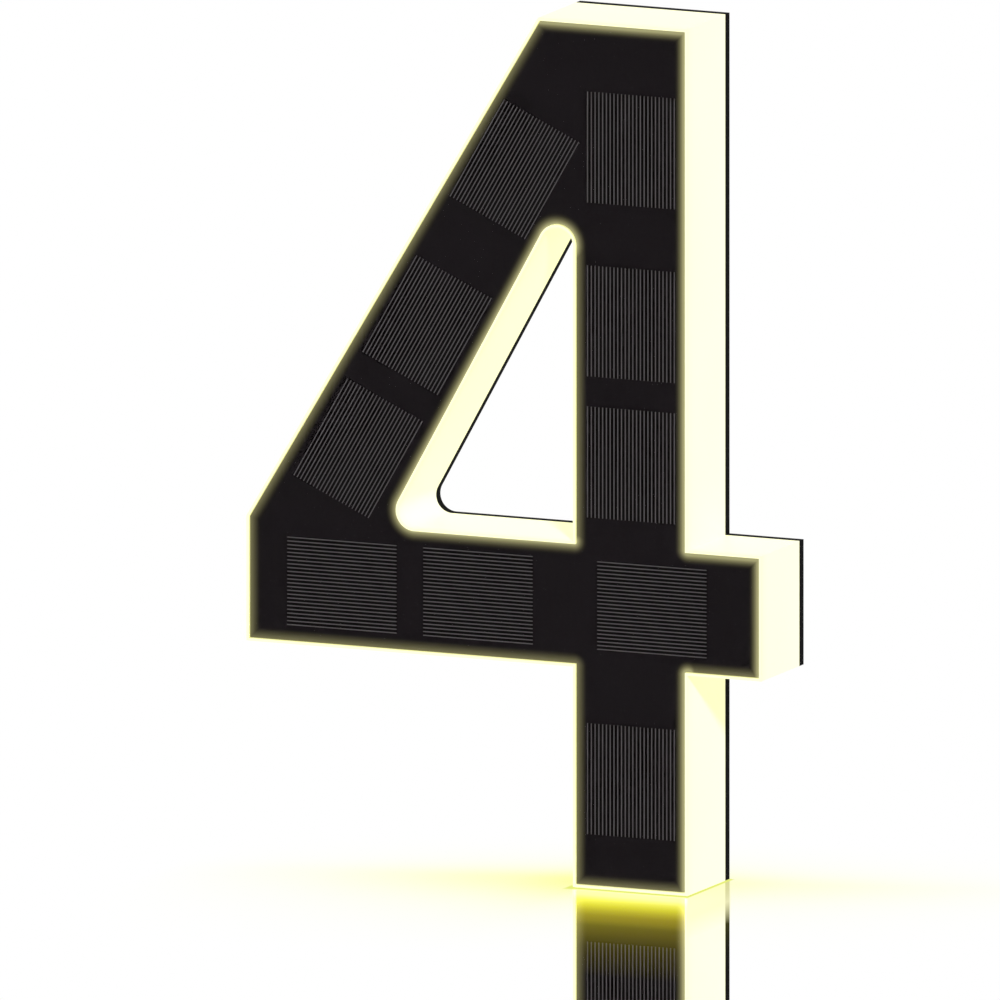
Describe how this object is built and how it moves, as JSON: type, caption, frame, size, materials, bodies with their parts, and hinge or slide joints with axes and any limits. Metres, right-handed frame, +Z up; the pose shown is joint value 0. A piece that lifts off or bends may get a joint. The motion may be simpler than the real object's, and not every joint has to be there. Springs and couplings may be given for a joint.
{
  "type": "illuminated house number",
  "caption": "Solar-powered wall-mounted numeral 4 with a glowing opal housing, black solar face, sealed back cover and recessed push button.",
  "frame": {"origin": "centre of the upper keyhole's round entry, on the wall plane at the back of the cover", "axes": "+Z up the stem, +X to the reader's right, +Y into the wall, so that the numeral faces -Y"},
  "size_m": [0.1279, 0.0237, 0.2],
  "materials": {
    "opal": "opal, lit from inside",
    "clear_film": "clear laminate, glossy",
    "solar_cell": "dark silicon with fine silver lines",
    "black_board": "satin black",
    "black_plastic": "fine moulded texture",
    "holder_plastic": "moulded",
    "cell_sleeve": "shrink sleeve",
    "nickel": "nickel plated",
    "screw_steel": "plain",
    "seal_rubber": "soft silicone",
    "button_plastic": "moulded",
    "switch_plastic": "moulded",
    "green_board": "solder mask",
    "white_board": "white solder mask",
    "light_chip": "phosphor window",
    "black_component": "moulded",
    "ferrite": "ferrite",
    "capacitor_can": "can",
    "socket_nylon": "moulded",
    "lead_red": "insulated ribbon",
    "lead_white": "insulated ribbon"
  },
  "bodies": {
    "housing": {"arm_cell_1": "solar_cell", "arm_cell_2": "solar_cell", "arm_cell_3": "solar_cell", "back_cover": "black_plastic", "bar_cell_1": "solar_cell", "bar_cell_2": "solar_cell", "bar_cell_3": "solar_cell", "battery_cell": "cell_sleeve", "battery_holder": "holder_plastic", "battery_lead": "lead_red", "button_seal": "seal_rubber", "capacitor": "capacitor_can", "charge_chip": "black_component", "control_board": "green_board", "control_screws": "screw_steel", "counter_seal": "seal_rubber", "cover_screws": "screw_steel", "diffuser_shell": "opal", "front_film": "clear_film", "inductor": "ferrite", "lead_sockets": "socket_nylon", "led_board_arm": "white_board", "led_board_bar": "white_board", "led_board_stem": "white_board", "led_board_tip": "white_board", "led_packages": "light_chip", "light_lead": "lead_white", "light_links": "lead_white", "outer_seal": "seal_rubber", "panel_lead": "lead_red", "plate_contact": "nickel", "solar_board": "black_board", "spring_contact": "nickel", "stem_cell_1": "solar_cell", "stem_cell_2": "solar_cell", "stem_cell_3": "solar_cell", "stem_cell_4": "solar_cell", "switch_body": "switch_plastic"},
    "button": {"power_button": "button_plastic", "switch_plunger": "switch_plastic"}
  },
  "joints": [
    {"name": "button_press", "type": "slide", "parent": "housing", "child": "button", "axis": [0, -1, 0], "range_m": [0, 0.0015], "stiffness_N_per_m": 600, "springref_m": -0.0005}
  ]
}
